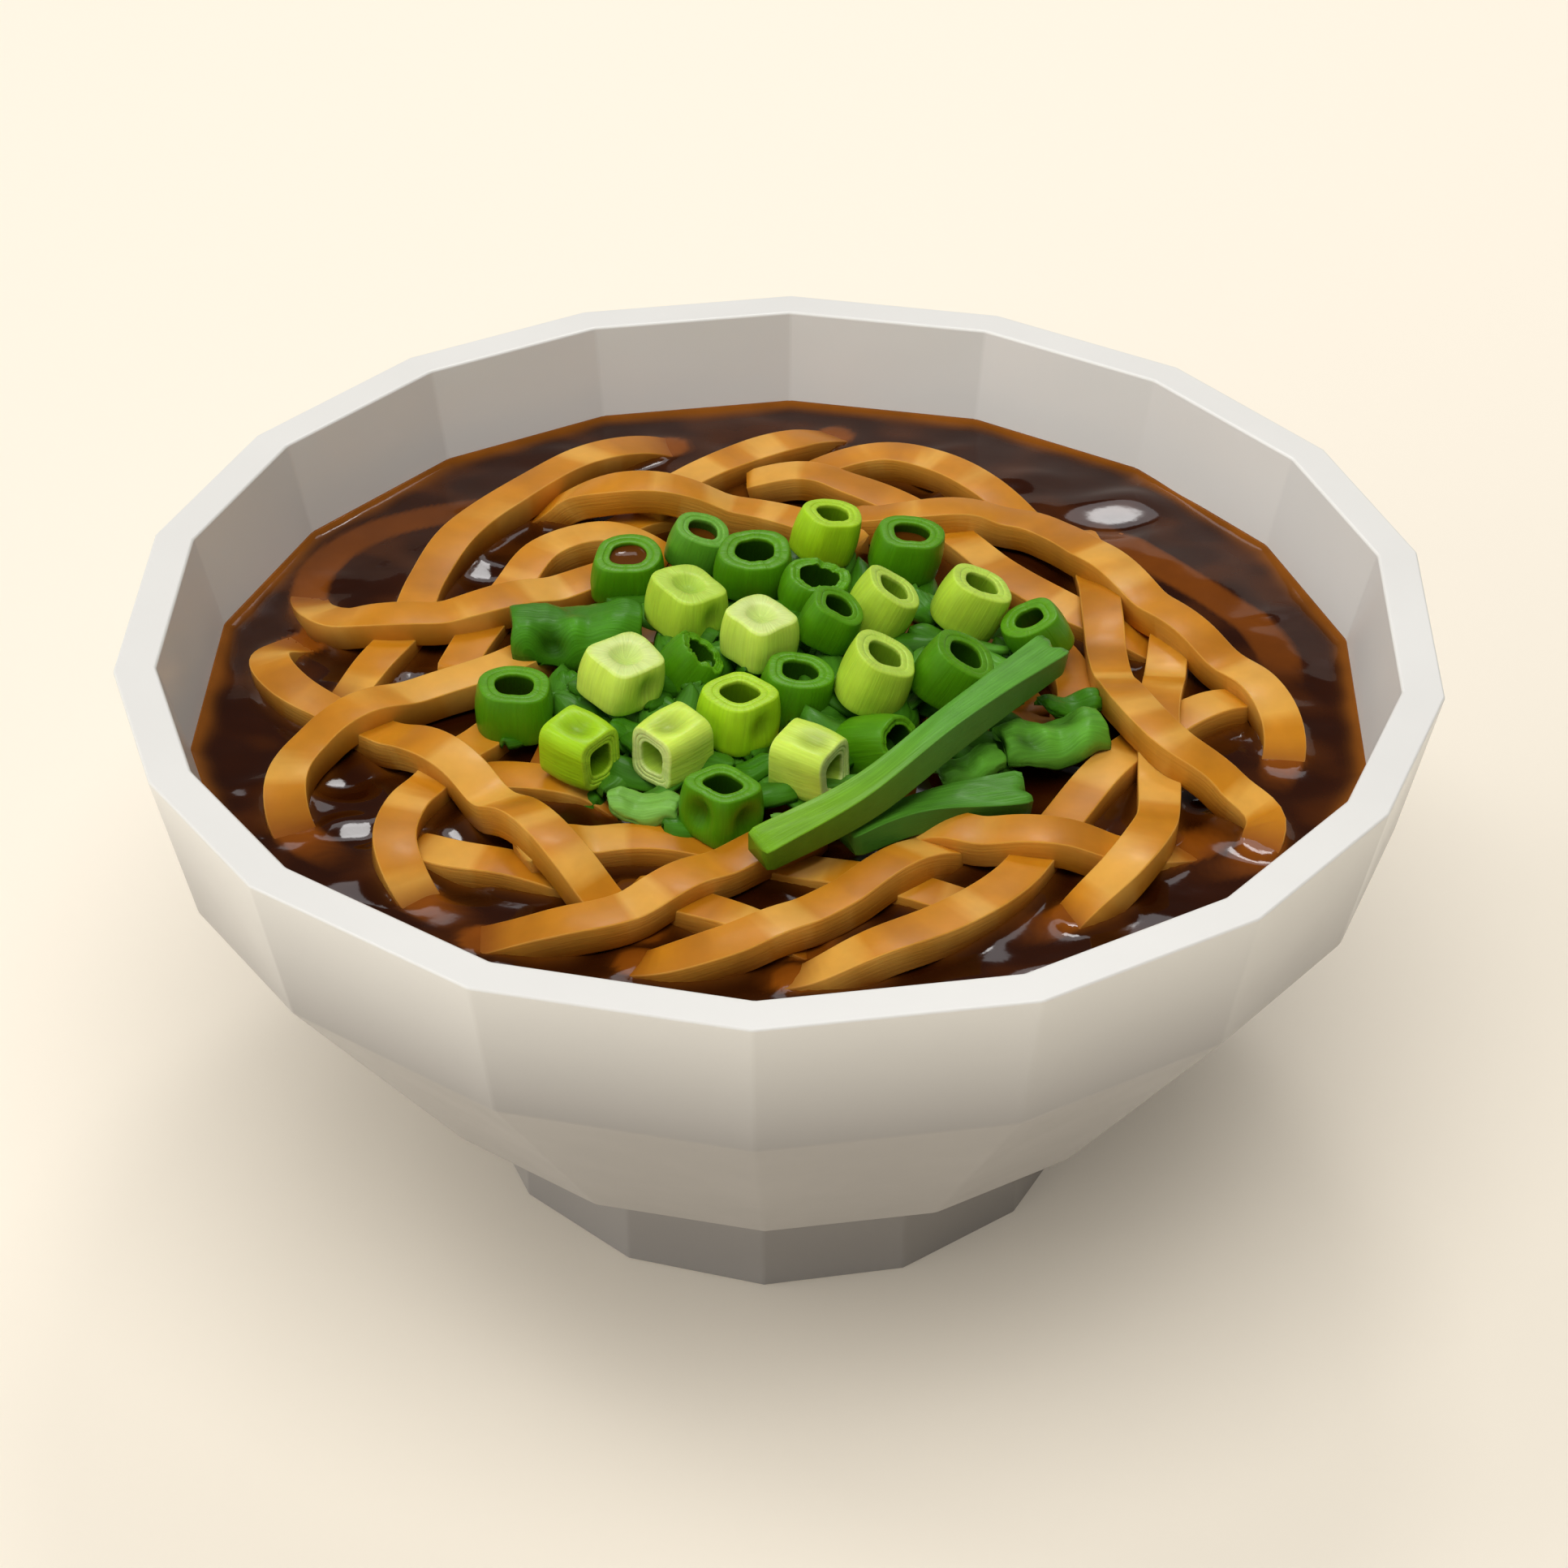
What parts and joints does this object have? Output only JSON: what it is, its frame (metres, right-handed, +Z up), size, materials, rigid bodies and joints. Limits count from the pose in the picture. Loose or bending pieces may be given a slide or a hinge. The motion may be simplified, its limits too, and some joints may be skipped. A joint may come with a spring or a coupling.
{
  "type": "bowl of lor mee",
  "caption": "White faceted noodle bowl on a round foot, filled with flat yellow noodles in thick dark gravy and topped with cut spring onion.",
  "frame": {"origin": "middle of the bowl, on the surface that its foot stands on", "axes": "+Z up through the bowl's mouth; -Y is the front, the side the picture is taken from; +X to the right"},
  "size_m": [0.1874, 0.1899, 0.0913],
  "materials": {
    "bowl_glaze": "smooth white glaze over hand-cut facets, softly rounded edges",
    "gravy": "thick starchy dark soy gravy, very glossy, amber where it thins out at the wall",
    "noodle": "soft flat yellow wheat noodle wetted by gravy",
    "onion_dark_green": "waxy spring onion green, moist cut ends",
    "onion_lime": "waxy light spring onion, moist cut ends",
    "onion_light_green": "light green spring onion, moist cut ends",
    "onion_pale": "pale lower stalk of spring onion, moist cut ends",
    "leaf_green": "flattened spring onion leaf, waxy with fine veins"
  },
  "bodies": {
    "root": {"bowl": "bowl_glaze", "gravy": "gravy", "noodles": "noodle", "onion_back_lime": "onion_lime", "onion_back_left": "leaf_green", "onion_back_dark": "onion_dark_green", "onion_far_left": "onion_dark_green", "onion_back_right": "onion_dark_green", "onion_torn": "onion_dark_green", "onion_middle": "onion_dark_green", "onion_light_middle": "onion_light_green", "onion_light_right": "onion_light_green", "onion_ragged": "onion_dark_green", "onion_light_centre": "onion_light_green", "onion_right": "onion_dark_green", "onion_centre": "onion_dark_green", "onion_left": "onion_dark_green", "onion_curled": "onion_dark_green", "onion_far_right": "onion_dark_green", "onion_lime_centre": "onion_lime", "onion_front": "onion_dark_green", "onion_pale_left": "onion_light_green", "onion_pale_middle": "onion_pale", "onion_pale_front_left": "onion_pale", "onion_lime_left": "onion_lime", "onion_pale_front": "onion_pale", "onion_pale_right": "onion_pale", "leaf_left": "leaf_green", "leaf_right": "leaf_green", "leaf_right_back": "leaf_green", "leaf_right_near": "leaf_green", "leaf_between": "leaf_green", "leaf_under_strip": "leaf_green", "leaf_small_left": "leaf_green", "leaf_middle": "leaf_green", "leaf_front": "leaf_green", "bit_front_left": "leaf_green", "bit_front": "leaf_green", "strip_long": "leaf_green", "strip_short": "leaf_green"}
  },
  "joints": []
}
